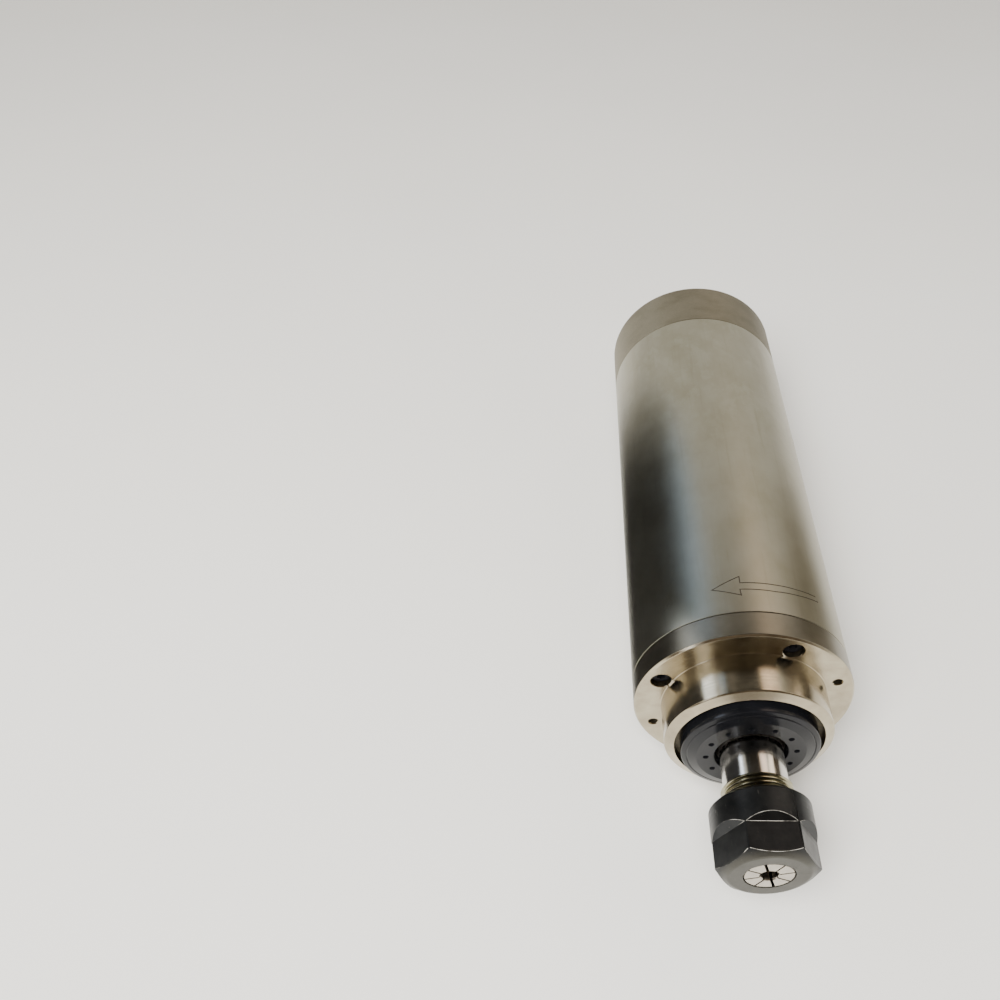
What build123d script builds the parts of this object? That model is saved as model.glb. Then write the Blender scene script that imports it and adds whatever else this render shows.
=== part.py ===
from build123d import *
import math
import os

os.makedirs("parts", exist_ok=True)

# A water-cooled motor spindle that lies on its side. Its axis is Y, with the tool end at -Y
# and the cable end at +Y. Every station is a distance along Y from the front face of the
# flange, and angles around the axis turn from straight up (+Z) toward +X.

# Fits. Each is a gap on the radius.
seat_gap = 0.02
running_gap = 0.05
screw_clearance = 0.25
head_clearance = 0.2
overrun = 1.0

# Casing
flange_thickness = 10.0
sleeve_length = 176.0
sleeve_wall = 2.5
cap_length = 27.0
rim_chamfer = 0.5

# Cooling jacket inside the sleeve
jacket_wall = 7.48
channel_depth = 3.2
channel_margin = 14.0
channel_turn_gap = 12.0
rib_width = 4.5
rib_count = 8
port_radius = 2.0
port_overlap = 5.0
port_count = 2
port_angle = 90.0
seal_width = 2.0
seal_depth = 1.2
seal_inset = 4.0

# Screws, all M4 socket heads, and the two jacking threads in the flange
screw_radius = 2.0
screw_head_radius = 3.5
screw_head_height = 4.0
screw_head_chamfer = 0.4
screw_socket_flats = 3.0
screw_socket_depth = 2.2
screw_rim = 6.3
screw_count = 4
flange_screw_length = 16.0
flange_screw_angle = 24.25
flange_head_recess = 6.0
cap_screw_length = 30.0
cap_screw_angle = 45.0
cap_head_recess = 5.0
jack_hole_radius = 1.7
jack_hole_inset = 5.5
jack_angle = 69.3
jack_count = 2

# Front bearings, a pair of 25 x 47 x 12
front_bore_radius = 12.5
front_outer_radius = 23.5
front_bearing_width = 12.0
front_ball_radius = 3.2
front_ball_count = 14
front_bearing_start = -8.0

# Rear bearings, a pair of 17 x 35 x 10
rear_bore_radius = 8.5
rear_outer_radius = 17.5
rear_bearing_width = 10.0
rear_ball_radius = 2.6
rear_ball_count = 12
bearing_pair = 2
ring_wall_share = 0.27
cage_wall = 1.6
cage_width_margin = 0.8
bearing_shoulder_height = 3.5

# Screwed cover that holds the front bearings
cover_thread_step = 0.9
cover_front_station = -21.0
cover_bevel_length = 1.5
cover_bevel_width = 5.2
cover_shaft_gap = 0.7
cover_web = 4.0
cover_recess_gap = 1.0
cover_hole_radius = 0.95
cover_hole_depth = 3.0
cover_hole_inset = 2.9
cover_hole_count = 12
cover_hole_angle = -6.2

# Nose boss on the flange, around the cover
boss_length = 16.6
boss_edge_chamfer = 0.4
lip_bevel = 1.4
lip_width = 3.1
lip_groove_width = 2.1
lip_groove_depth = 3.0
spigot_length = 12.0

# Shaft
nose_station = -57.0
thread_start = -34.0
thread_chamfer = 0.8
thread_gap = 0.1
neck_radius = 11.2
neck_end = -20.5
collar_radius = 12.2
collar_start = -19.0
shaft_shoulder_height = 3.0
shaft_shoulder_length = 8.0
rotor_seat_radius = 11.0
rear_shoulder_step = 0.4
rear_shoulder_length = 8.0
shaft_tail_length = 8.0
lock_ring_wall = 4.5
lock_ring_length = 8.0
lock_nut_wall = 4.0
lock_nut_length = 6.0
lock_slot_width = 4.0
lock_slot_depth = 1.5
lock_slot_count = 4

# Collet: 8 degree taper, 30 degree face cone, slit in turn from both ends
collet_front_station = -63.8
collet_face_radius = 8.0
collet_cone_radius = 9.75
collet_cone_angle = 30.0
collet_groove_radius = 8.7
collet_groove_width = 2.6
collet_big_radius = 10.5
collet_land = 0.7
collet_taper_angle = 8.0
collet_length = 31.5
collet_bore_radius = 3.0
collet_grip_length = 19.0
collet_relief_radius = 3.6
collet_slit_width = 0.8
collet_rear_slit_width = 0.5
collet_slit_bridge = 6.0
collet_slit_count = 8
collet_slit_angle = 28.5
draw_hole_step = 0.5
draw_hole_length = 12.0

# Collet nut
nut_radius = 17.2
nut_face_inset = 0.1
nut_length = 23.1
nut_rear_radius = 15.4
nut_rear_cone = 1.6
nut_face_radius = 13.2
nut_front_cone = 2.25
nut_across_flats = 30.0
nut_flat_length = 10.9
nut_runout_length = 2.4
nut_flat_count = 6
nut_flat_angle = 2.0
nut_pocket_gap = 0.7
nut_lip_offset = 0.85
nut_lip_gap = 0.35

# Motor
stator_bore_radius = 16.0
winding_end_gap = 9.0
winding_overhang = 16.0
winding_wall_gap = 2.0
winding_bore_step = 3.0
winding_end_round = 3.0
winding_slot_width = 2.4
winding_slot_depth = 8.0
winding_slot_inset = 0.4
winding_slot_count = 24
slot_liner = 0.1
air_gap = 0.5
end_ring_length = 6.0
end_ring_gap = 1.2

# Rear bearing seat and preload
seat_flange_gap = 0.2
seat_flange_thickness = 4.0
seat_shoulder_height = 4.0
seat_shoulder_width = 3.0
spring_rim_gap = 0.2
spring_width = 4.5
spring_thickness = 0.5
spring_rise = 0.7
spring_count = 2
outer_ring_float = 2.6

# Rear cap
cap_wall = 3.5
cap_end_wall = 8.0
cap_edge_chamfer = 1.2
cap_column_radius = 4.5
water_pad_width = 11.0
cross_drill_inset = 8.0

# Round four-pin cable socket
socket_barrel_radius = 9.5
socket_barrel_wall = 1.5
socket_barrel_length = 12.0
socket_flange_radius = 13.0
socket_flange_thickness = 2.0
socket_nut_wall = 2.5
socket_nut_thickness = 3.5
socket_tail_reach = 1.5
socket_insert_length = 14.0
socket_insert_recess = 9.0
pin_radius = 1.2
pin_circle_radius = 4.9
pin_count = 4
pin_reach = 7.0
pin_tail = 3.0
pin_chamfer = 0.4
key_width = 1.6
key_depth = 0.8

# Hose nipples
nipple_gap = 3.1
nipple_thread_radius = 4.0
nipple_thread_length = 7.0
nipple_bore_radius = 2.0
nipple_hex_flats = 11.0
nipple_hex_length = 5.0
nipple_stem_radius = 2.9
nipple_barb_height = 0.7
nipple_barb_pitch = 4.0
nipple_barb_share = 0.7
nipple_barb_count = 4
washer_thickness = 1.0
washer_radius = 5.9

# Radii, from the bearings outward
cover_radius = front_outer_radius + cover_thread_step
lip_radius = cover_radius + lip_groove_width
boss_edge_radius = lip_radius + lip_width
boss_radius = boss_edge_radius + boss_edge_chamfer
screw_recess_radius = screw_head_radius + head_clearance
screw_circle_radius = boss_radius + screw_recess_radius
body_radius = screw_circle_radius + screw_rim
jack_circle_radius = body_radius - jack_hole_inset
sleeve_bore_radius = body_radius - sleeve_wall
jacket_radius = sleeve_bore_radius - seat_gap
jacket_bore_radius = jacket_radius - jacket_wall
cap_bore_radius = body_radius - cap_wall
seat_flange_radius = cap_bore_radius - seat_flange_gap
thread_radius = front_bore_radius - thread_gap
lock_ring_radius = front_bore_radius + lock_ring_wall
lock_nut_radius = rear_bore_radius + lock_nut_wall
cover_bore_radius = collar_radius + cover_shaft_gap
cover_bevel_radius = cover_radius - cover_bevel_width
cover_recess_radius = lock_ring_radius + cover_recess_gap
cover_hole_circle = cover_bore_radius + cover_hole_inset
socket_bore_radius = socket_barrel_radius - socket_barrel_wall
nipple_offset = socket_flange_radius + washer_radius + nipple_gap

# Stations, from the flange toward each end
sleeve_start = flange_thickness
sleeve_end = sleeve_start + sleeve_length
body_end = sleeve_end + cap_length
spigot_end = sleeve_start + spigot_length
channel_start = sleeve_start + channel_margin
channel_end = sleeve_end - channel_margin
seal_starts = (sleeve_start + seal_inset, sleeve_end - seal_inset - seal_width)
front_bearing_end = front_bearing_start + bearing_pair * front_bearing_width
seat_end = sleeve_end + seat_flange_thickness
rear_bearing_end = seat_end - outer_ring_float
rear_bearing_start = rear_bearing_end - bearing_pair * rear_bearing_width
spring_start = rear_bearing_start - spring_count * (spring_thickness + spring_rise)
seat_start = spring_start - seat_shoulder_width
stator_start = spigot_end + winding_end_gap + winding_overhang
stator_end = seat_start - winding_end_gap - winding_overhang
stator_length = stator_end - stator_start
shaft_end = rear_bearing_end + shaft_tail_length
cap_inner_end = body_end - cap_end_wall
cap_screw_seat = body_end - cap_head_recess
socket_start = cap_inner_end - socket_nut_thickness - socket_tail_reach
nut_front_station = collet_front_station - nut_face_inset
nut_rear_station = nut_front_station + nut_length
collet_rear_station = collet_front_station + collet_length
groove_start = collet_front_station + (
    (collet_cone_radius - collet_face_radius) / math.tan(math.radians(collet_cone_angle)))
groove_end = groove_start + collet_groove_width
taper_start = groove_end + collet_land


def collet_radius(station):
    """Radius of the collet's long taper at a station."""
    return collet_big_radius - (station - taper_start) * math.tan(math.radians(collet_taper_angle))


def across(station):
    """Plane across the axis, with its x straight up and its z toward the cable end."""
    return Plane(origin=(0, station, 0), x_dir=(0, 0, 1), z_dir=(0, 1, 0))


def places(station, radius, count, first_angle=0.0):
    """Places around the axis. At each one x points outward and z along the axis."""
    return [across(station) * place for place in PolarLocations(radius, count, first_angle)]


def turned(*points):
    """Lathe-turned solid from its half section, as (station, radius) points."""
    return revolve(make_face(Plane.YZ * Polyline(*points, close=True)), Axis.Y)


def tube(start, end, outer, inner):
    """Plain ring between two stations."""
    return extrude(across(start) * (Circle(outer) - Circle(inner)), end - start)


def disc(start, end, radius):
    """Round bar on the axis between two stations."""
    return extrude(across(start) * Circle(radius), end - start)


def rod(radius, length):
    """Cylinder that stands on its place and runs along the axis."""
    return Cylinder(radius, length, align=(Align.CENTER, Align.CENTER, Align.MIN))


def slit(length, depth, width):
    """Thin block that runs outward from its place and along the axis."""
    return Box(depth, width, length, align=(Align.MIN, Align.CENTER, Align.MIN))


def joined(solids):
    """Separate solids kept together as one group."""
    return Compound(children=list(solids))


def socket_screw(length):
    """Socket-head screw whose head seats on its place, with the shank along +z."""
    head = Pos(0, 0, -screw_head_height) * rod(screw_head_radius, screw_head_height)
    head = chamfer(head.edges().sort_by(Axis.Z)[0], screw_head_chamfer)
    socket = Pos(0, 0, -screw_head_height) * extrude(
        RegularPolygon(screw_socket_flats / 2, 6, major_radius=False), screw_socket_depth)
    shank = rod(screw_radius - seat_gap, length)
    return head + shank - socket


def body_sleeve():
    """Ground outer tube."""
    return tube(sleeve_start, sleeve_end, body_radius, sleeve_bore_radius)


def water_jacket():
    """Liner with a meander of water channels around it."""
    jacket = tube(sleeve_start, sleeve_end, jacket_radius, jacket_bore_radius)
    channel_floor = jacket_radius - channel_depth
    water = tube(channel_start, channel_end, jacket_radius + overrun, channel_floor)
    rib_length = channel_end - channel_start - channel_turn_gap
    pitch = 360 / rib_count
    for index in range(rib_count):
        angle = pitch * (index + 0.5)
        steps_from_inlet = int(abs((angle - 90 + 180) % 360 - 180) // pitch)
        opens_at_front = steps_from_inlet % 2 == 0
        rib_start = channel_start + (channel_turn_gap if opens_at_front else 0)
        rib = slit(rib_length, body_radius, rib_width)
        water -= [place * rib for place in places(rib_start, 0, 1, angle)]
    jacket -= water
    for start in seal_starts:
        jacket -= tube(start, start + seal_width, jacket_radius + overrun, jacket_radius - seal_depth)
    front_tap = rod(screw_radius, flange_head_recess + flange_screw_length + overrun - sleeve_start)
    jacket -= [place * front_tap for place in
               places(sleeve_start, screw_circle_radius, screw_count, flange_screw_angle)]
    rear_tap_depth = cap_screw_length - (cap_screw_seat - sleeve_end) + overrun
    rear_tap = rod(screw_radius, rear_tap_depth)
    jacket -= [place * rear_tap for place in
               places(sleeve_end - rear_tap_depth, screw_circle_radius, screw_count, cap_screw_angle)]
    port = rod(port_radius, channel_margin + port_overlap)
    jacket -= [place * port for place in
               places(channel_end - port_overlap, screw_circle_radius, port_count, port_angle)]
    return jacket


def jacket_seals():
    """Two rubber rings in the lands at the ends of the jacket."""
    return joined(tube(start, start + seal_width, sleeve_bore_radius, jacket_radius - seal_depth)
                  for start in seal_starts)


def front_flange():
    """Flange, nose boss and front bearing housing in one turned piece."""
    bevel_station = -boss_length + lip_bevel
    groove_floor = -boss_length + lip_groove_depth
    spigot_radius = jacket_bore_radius - seat_gap
    bearing_seat = front_outer_radius + seat_gap
    cover_seat = cover_radius + seat_gap
    shoulder = front_outer_radius - bearing_shoulder_height
    flange = turned(
        (-boss_length, lip_radius), (bevel_station, boss_edge_radius),
        (bevel_station + boss_edge_chamfer, boss_radius), (0, boss_radius),
        (0, body_radius - rim_chamfer), (rim_chamfer, body_radius),
        (flange_thickness, body_radius), (flange_thickness, spigot_radius),
        (spigot_end, spigot_radius), (spigot_end, shoulder),
        (front_bearing_end, shoulder), (front_bearing_end, bearing_seat),
        (front_bearing_start, bearing_seat), (front_bearing_start, cover_seat),
        (groove_floor, cover_seat), (groove_floor, lip_radius))
    recess = rod(screw_recess_radius, flange_head_recess)
    through = rod(screw_radius + screw_clearance, flange_thickness)
    for place in places(0, screw_circle_radius, screw_count, flange_screw_angle):
        flange -= place * recess
        flange -= place * through
    jack_hole = rod(jack_hole_radius, flange_thickness)
    flange -= [place * jack_hole for place in
               places(0, jack_circle_radius, jack_count, jack_angle)]
    return flange


def flange_screws():
    """Four screws that hold the flange to the jacket."""
    screw = socket_screw(flange_screw_length)
    return joined(place * screw for place in
                  places(flange_head_recess, screw_circle_radius, screw_count, flange_screw_angle))


def bearing_cover():
    """Screwed ring with a bevelled face, spanner holes and a hollow back."""
    web_back = cover_front_station + cover_web
    cover = turned(
        (cover_front_station, cover_bore_radius), (cover_front_station, cover_bevel_radius),
        (cover_front_station + cover_bevel_length, cover_radius), (front_bearing_start, cover_radius),
        (front_bearing_start, cover_recess_radius), (web_back, cover_recess_radius),
        (web_back, cover_bore_radius))
    hole = rod(cover_hole_radius, cover_hole_depth)
    return cover - [place * hole for place in
                    places(cover_front_station, cover_hole_circle, cover_hole_count, cover_hole_angle)]


def bearing_ring_radii(bore_radius, outer_radius):
    """Outside of the inner rings and inside of the outer rings."""
    section = outer_radius - bore_radius
    return bore_radius + ring_wall_share * section, outer_radius - ring_wall_share * section


def races(start, bore_radius, outer_radius, width, ball_radius):
    """Round grooves that the balls of a bearing pair run in."""
    pitch_radius = (bore_radius + outer_radius) / 2
    groove = Plane.YZ * Circle(ball_radius + running_gap)
    return [revolve(Pos(0, start + (index + 0.5) * width, pitch_radius) * groove, Axis.Y)
            for index in range(bearing_pair)]


def inner_rings(start, bore_radius, outer_radius, width, ball_radius):
    """Inner rings of a bearing pair."""
    inner_top, _ = bearing_ring_radii(bore_radius, outer_radius)
    grooves = races(start, bore_radius, outer_radius, width, ball_radius)
    return joined(tube(start + index * width, start + (index + 1) * width, inner_top, bore_radius)
                  - grooves[index] for index in range(bearing_pair))


def outer_rings(start, bore_radius, outer_radius, width, ball_radius):
    """Outer rings of a bearing pair."""
    _, outer_bottom = bearing_ring_radii(bore_radius, outer_radius)
    grooves = races(start, bore_radius, outer_radius, width, ball_radius)
    return joined(tube(start + index * width, start + (index + 1) * width, outer_radius, outer_bottom)
                  - grooves[index] for index in range(bearing_pair))


def balls(start, bore_radius, outer_radius, width, ball_radius, count):
    """Balls of a bearing pair."""
    pitch_radius = (bore_radius + outer_radius) / 2
    return joined(place * Sphere(ball_radius)
                  for index in range(bearing_pair)
                  for place in places(start + (index + 0.5) * width, pitch_radius, count))


def cages(start, bore_radius, outer_radius, width, ball_radius, count):
    """Ball cages of a bearing pair, each a thin ring with round pockets."""
    pitch_radius = (bore_radius + outer_radius) / 2
    inner = pitch_radius - cage_wall / 2
    outer = pitch_radius + cage_wall / 2
    pocket = Rot(0, 90, 0) * Cylinder(ball_radius + running_gap, 2 * cage_wall)
    made = []
    for index in range(bearing_pair):
        middle = start + (index + 0.5) * width
        half_width = ball_radius + cage_width_margin
        cage = tube(middle - half_width, middle + half_width, outer, inner)
        made.append(cage - [place * pocket for place in places(middle, pitch_radius, count)])
    return joined(made)


front_bearing = (front_bearing_start, front_bore_radius, front_outer_radius,
                 front_bearing_width, front_ball_radius)
rear_bearing = (rear_bearing_start, rear_bore_radius, rear_outer_radius,
                rear_bearing_width, rear_ball_radius)


def stator_slots(grow):
    """Slots of the stator core, grown or shrunk on every side."""
    slot = slit(stator_length, winding_slot_depth + 2 * grow, winding_slot_width + 2 * grow)
    first_radius = stator_bore_radius + winding_slot_inset - grow
    return [place * slot for place in places(stator_start, first_radius, winding_slot_count)]


def stator_core():
    """Laminated stack with closed slots around the bore."""
    core = tube(stator_start, stator_end, jacket_bore_radius - seat_gap, stator_bore_radius)
    return core - stator_slots(slot_liner)


def stator_windings():
    """Copper in the slots with a moulded bundle at each end."""
    outer = jacket_bore_radius - winding_wall_gap
    inner = stator_bore_radius + winding_bore_step
    front = tube(stator_start - winding_overhang, stator_start, outer, inner)
    rear = tube(stator_end, stator_end + winding_overhang, outer, inner)
    front = fillet(front.edges().group_by(Axis.Y)[0], winding_end_round)
    rear = fillet(rear.edges().group_by(Axis.Y)[-1], winding_end_round)
    return front + rear + stator_slots(0)


def rear_bearing_seat():
    """Housing of the rear bearings, a spigot in the jacket with a flange over its end."""
    bearing_seat = rear_outer_radius + seat_gap
    shoulder = rear_outer_radius - seat_shoulder_height
    seat = turned(
        (seat_start, shoulder), (seat_start, jacket_bore_radius - seat_gap),
        (sleeve_end, jacket_bore_radius - seat_gap), (sleeve_end, seat_flange_radius),
        (seat_end, seat_flange_radius), (seat_end, bearing_seat),
        (spring_start, bearing_seat), (spring_start, shoulder))
    through = rod(screw_radius + screw_clearance, seat_flange_thickness)
    port = rod(port_radius, seat_flange_thickness)
    seat -= [place * through for place in
             places(sleeve_end, screw_circle_radius, screw_count, cap_screw_angle)]
    seat -= [place * port for place in
             places(sleeve_end, screw_circle_radius, port_count, port_angle)]
    return seat


def preload_springs():
    """Disc springs that push the rear outer rings toward the cable end."""
    pitch = spring_thickness + spring_rise
    outer = rear_outer_radius - spring_rim_gap
    inner = outer - spring_width
    springs = []
    for index in range(spring_count):
        low = spring_start + index * pitch
        rises = index % 2 == 0
        inner_low = low + (0 if rises else spring_rise)
        outer_low = low + (spring_rise if rises else 0)
        springs.append(turned(
            (inner_low, inner), (outer_low, outer),
            (outer_low + spring_thickness, outer), (inner_low + spring_thickness, inner)))
    return joined(springs)


def rear_cap():
    """Cap over the cable end, with screw columns and drilled water pads inside."""
    cap = turned(
        (sleeve_end, cap_bore_radius), (sleeve_end, body_radius - rim_chamfer),
        (sleeve_end + rim_chamfer, body_radius), (body_end - cap_edge_chamfer, body_radius),
        (body_end, body_radius - cap_edge_chamfer), (body_end, socket_barrel_radius + seat_gap),
        (cap_inner_end, socket_barrel_radius + seat_gap), (cap_inner_end, cap_bore_radius))
    column_length = cap_inner_end - seat_end
    column = rod(cap_column_radius, column_length)
    cap += [place * column for place in
            places(seat_end, screw_circle_radius, screw_count, cap_screw_angle)]
    pad_inner = nipple_offset - water_pad_width / 2
    pad_outer = body_radius - cap_wall / 2
    pad = slit(column_length, pad_outer - pad_inner, water_pad_width)
    cap += [place * pad for place in places(seat_end, pad_inner, port_count, port_angle)]
    through = rod(screw_radius + screw_clearance, cap_end_wall + column_length)
    recess = rod(screw_recess_radius, cap_head_recess)
    for place in places(seat_end, screw_circle_radius, screw_count, cap_screw_angle):
        cap -= place * through
    for place in places(cap_screw_seat, screw_circle_radius, screw_count, cap_screw_angle):
        cap -= place * recess
    cross_station = seat_end + cross_drill_inset
    port = rod(port_radius, cross_drill_inset)
    well = rod(nipple_bore_radius, body_end - cross_station)
    thread = rod(nipple_thread_radius, nipple_thread_length + overrun)
    cross = Rot(0, 90, 0) * rod(port_radius, screw_circle_radius - nipple_offset)
    thread_end = body_end - nipple_thread_length - overrun
    for drill, station, radius in ((port, seat_end, screw_circle_radius),
                                   (well, cross_station, nipple_offset),
                                   (cross, cross_station, nipple_offset),
                                   (thread, thread_end, nipple_offset)):
        cap -= [place * drill for place in places(station, radius, port_count, port_angle)]
    return cap


def cap_screws():
    """Four long screws that draw the cap and the bearing seat onto the jacket."""
    screw = Rot(180, 0, 0) * socket_screw(cap_screw_length)
    return joined(place * screw for place in
                  places(cap_screw_seat, screw_circle_radius, screw_count, cap_screw_angle))


def socket_shell():
    """Metal barrel of the cable socket with its seating flange."""
    barrel_end = body_end + socket_barrel_length
    flange_end = body_end + socket_flange_thickness
    barrel_outer = socket_barrel_radius
    shell = turned(
        (socket_start, barrel_outer), (body_end, barrel_outer),
        (body_end, socket_flange_radius), (flange_end, socket_flange_radius),
        (flange_end, barrel_outer), (barrel_end - rim_chamfer, barrel_outer),
        (barrel_end, barrel_outer - rim_chamfer), (barrel_end, socket_bore_radius),
        (socket_start, socket_bore_radius))
    key = slit(socket_insert_recess, key_depth + socket_barrel_wall / 2, key_width)
    return shell + [place * key for place in
                    places(insert_front(), socket_bore_radius - key_depth, 1)]


def insert_front():
    """Station of the socket's insulator face."""
    return body_end + socket_barrel_length - socket_insert_recess


def pin_places(station):
    """Places of the socket pins."""
    return places(station, pin_circle_radius, pin_count, 45)


def socket_insert():
    """Moulded insulator that carries the pins."""
    front = insert_front()
    insert = disc(front - socket_insert_length, front, socket_bore_radius - seat_gap)
    hole = rod(pin_radius + seat_gap, socket_insert_length)
    return insert - [place * hole for place in pin_places(front - socket_insert_length)]


def socket_pins():
    """Four round contact pins."""
    length = pin_tail + socket_insert_length + pin_reach
    pin = rod(pin_radius, length)
    pin = chamfer(pin.edges().sort_by(Axis.Z)[-1], pin_chamfer)
    start = insert_front() - socket_insert_length - pin_tail
    return joined(place * pin for place in pin_places(start))


def socket_nut():
    """Flat nut that holds the socket from inside the cap."""
    nut = extrude(across(cap_inner_end - socket_nut_thickness)
                  * RegularPolygon(socket_barrel_radius + socket_nut_wall, 6, major_radius=False),
                  socket_nut_thickness)
    return nut - disc(cap_inner_end - socket_nut_thickness, cap_inner_end,
                      socket_barrel_radius + seat_gap)


def water_nipple(side):
    """Brass hose nipple with a hexagon and a barbed stem."""
    hex_start = body_end + washer_thickness
    hex_end = hex_start + nipple_hex_length
    outline = [(body_end - nipple_thread_length, nipple_thread_radius - seat_gap),
               (hex_end, nipple_thread_radius - seat_gap)]
    barb_length = nipple_barb_share * nipple_barb_pitch
    for index in range(nipple_barb_count):
        barb_end = hex_end + (index + 1) * nipple_barb_pitch
        barb_start = barb_end - barb_length
        outline += [(barb_start, nipple_stem_radius),
                    (barb_start, nipple_stem_radius + nipple_barb_height),
                    (barb_end, nipple_stem_radius)]
    outline += [(outline[-1][0], nipple_bore_radius),
                (body_end - nipple_thread_length, nipple_bore_radius)]
    outline.insert(2, (hex_end, nipple_stem_radius))
    stem = turned(*outline)
    hexagon = extrude(across(hex_start)
                      * RegularPolygon(nipple_hex_flats / 2, 6, major_radius=False), nipple_hex_length)
    hexagon -= disc(hex_start, hex_end, nipple_bore_radius)
    return Pos(side * nipple_offset, 0, 0) * (stem + hexagon)


def nipple_washers():
    """Copper washers under the nipples."""
    washer = tube(body_end, body_end + washer_thickness, washer_radius,
                  nipple_thread_radius + running_gap)
    return joined(Pos(side * nipple_offset, 0, 0) * washer for side in (-1, 1))


def spindle_shaft():
    """Shaft with a collet taper and thread at the nose and two bearing seats."""
    bearing_seat = front_bore_radius - seat_gap
    shoulder_end = front_bearing_end + shaft_shoulder_length
    rear_seat = rear_bore_radius - seat_gap
    rear_shoulder_start = rear_bearing_start - rear_shoulder_length
    mouth = collet_radius(nose_station) + seat_gap
    taper_end = collet_rear_station + overrun
    throat = collet_radius(taper_end) + seat_gap
    draw_hole_radius = throat + draw_hole_step
    draw_hole_end = taper_end + draw_hole_length
    shoulder = front_bore_radius + shaft_shoulder_height
    rear_shoulder = rotor_seat_radius - rear_shoulder_step
    shaft = turned(
        (nose_station, mouth), (nose_station, thread_radius - thread_chamfer),
        (nose_station + thread_chamfer, thread_radius),
        (thread_start, thread_radius), (thread_start, neck_radius),
        (neck_end, neck_radius), (collar_start, collar_radius),
        (cover_front_station + cover_web, collar_radius),
        (cover_front_station + cover_web, bearing_seat),
        (front_bearing_end, bearing_seat), (front_bearing_end, shoulder),
        (shoulder_end, shoulder), (shoulder_end, rotor_seat_radius),
        (rear_shoulder_start, rotor_seat_radius), (rear_shoulder_start, rear_shoulder),
        (rear_bearing_start, rear_shoulder), (rear_bearing_start, rear_seat),
        (shaft_end, rear_seat), (shaft_end, 0), (draw_hole_end, 0),
        (draw_hole_end, draw_hole_radius), (taper_end, draw_hole_radius), (taper_end, throat))
    return shaft


def rotor_core():
    """Laminated rotor stack on the shaft."""
    return tube(stator_start, stator_end, stator_bore_radius - air_gap, rotor_seat_radius + seat_gap)


def rotor_end_rings():
    """Cast rings at the ends of the rotor cage."""
    outer = stator_bore_radius - end_ring_gap
    return joined(tube(start, start + end_ring_length, outer, rotor_seat_radius + seat_gap)
                  for start in (stator_start - end_ring_length, stator_end))


def lock_collar(start, end, outer, bore, slot_station):
    """Shaft nut with spanner slots in its rim."""
    slot = slit(end - start, lock_slot_depth + overrun, lock_slot_width)
    return tube(start, end, outer, bore) - [
        place * slot for place in places(slot_station, outer - lock_slot_depth, lock_slot_count)]


def front_lock_ring():
    """Nut that holds the front inner rings, under the cover."""
    start = front_bearing_start - lock_ring_length
    return lock_collar(start, front_bearing_start, lock_ring_radius,
                       front_bore_radius + seat_gap, start)


def rear_lock_nut():
    """Nut that holds the rear inner rings."""
    end = rear_bearing_end + lock_nut_length
    return lock_collar(rear_bearing_end, end, lock_nut_radius,
                       rear_bore_radius + seat_gap, rear_bearing_end)


def collet():
    """Spring collet, slit from the front and from the rear in turn."""
    grip_end = collet_front_station + collet_grip_length
    blank = turned(
        (collet_front_station, collet_bore_radius), (collet_front_station, collet_face_radius),
        (groove_start, collet_cone_radius), (groove_start, collet_groove_radius),
        (groove_end, collet_groove_radius), (groove_end, collet_big_radius),
        (taper_start, collet_big_radius), (collet_rear_station, collet_radius(collet_rear_station)),
        (collet_rear_station, collet_relief_radius), (grip_end, collet_relief_radius),
        (grip_end, collet_bore_radius))
    slit_length = collet_length - collet_slit_bridge
    reach = collet_big_radius + overrun
    half_pitch = 180 / collet_slit_count
    front_slit = slit(slit_length, reach, collet_slit_width)
    rear_slit = slit(slit_length, reach, collet_rear_slit_width)
    blank -= [place * front_slit for place in
              places(collet_front_station, 0, collet_slit_count, collet_slit_angle)]
    blank -= [place * rear_slit for place in
              places(collet_front_station + collet_slit_bridge, 0, collet_slit_count,
                     collet_slit_angle + half_pitch)]
    return blank


def nut_flats():
    """Six milled flats with a sloped run-out at their rear end."""
    flat = nut_across_flats / 2
    outside = nut_radius + overrun
    start = nut_front_station - overrun
    flat_end = nut_front_station + nut_flat_length
    runout_end = flat_end + nut_runout_length
    profile = Polyline((start, flat), (flat_end, flat), (runout_end, nut_radius),
                       (runout_end, outside), (start, outside), close=True)
    cutter = extrude(make_face(Plane.YZ * profile), nut_radius, both=True)
    turn = 360 / nut_flat_count
    return [Rot(0, nut_flat_angle + index * turn, 0) * cutter for index in range(nut_flat_count)]


def collet_nut():
    """Clamping nut with an eccentric lip that pulls the collet out."""
    cone_gap = seat_gap / math.cos(math.radians(collet_cone_angle))
    mouth = collet_face_radius + cone_gap - nut_face_inset * math.tan(math.radians(collet_cone_angle))
    lip_start = groove_start + running_gap
    lip_end = groove_end - running_gap
    cone_end = collet_cone_radius + cone_gap
    pocket = collet_big_radius + nut_pocket_gap
    nut = turned(
        (nut_front_station, mouth), (nut_front_station, nut_face_radius),
        (nut_front_station + nut_front_cone, nut_radius),
        (nut_rear_station - nut_rear_cone, nut_radius), (nut_rear_station, nut_rear_radius),
        (nut_rear_station, thread_radius + running_gap),
        (nose_station, thread_radius + running_gap), (nose_station, pocket),
        (lip_end, pocket), (lip_end, collet_groove_radius),
        (lip_start, collet_groove_radius), (lip_start, cone_end), (groove_start, cone_end))
    lip_bore = disc(lip_start, lip_end, collet_groove_radius + nut_lip_offset + nut_lip_gap)
    nut -= Pos(0, 0, nut_lip_offset) * lip_bore
    return nut - nut_flats()


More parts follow.
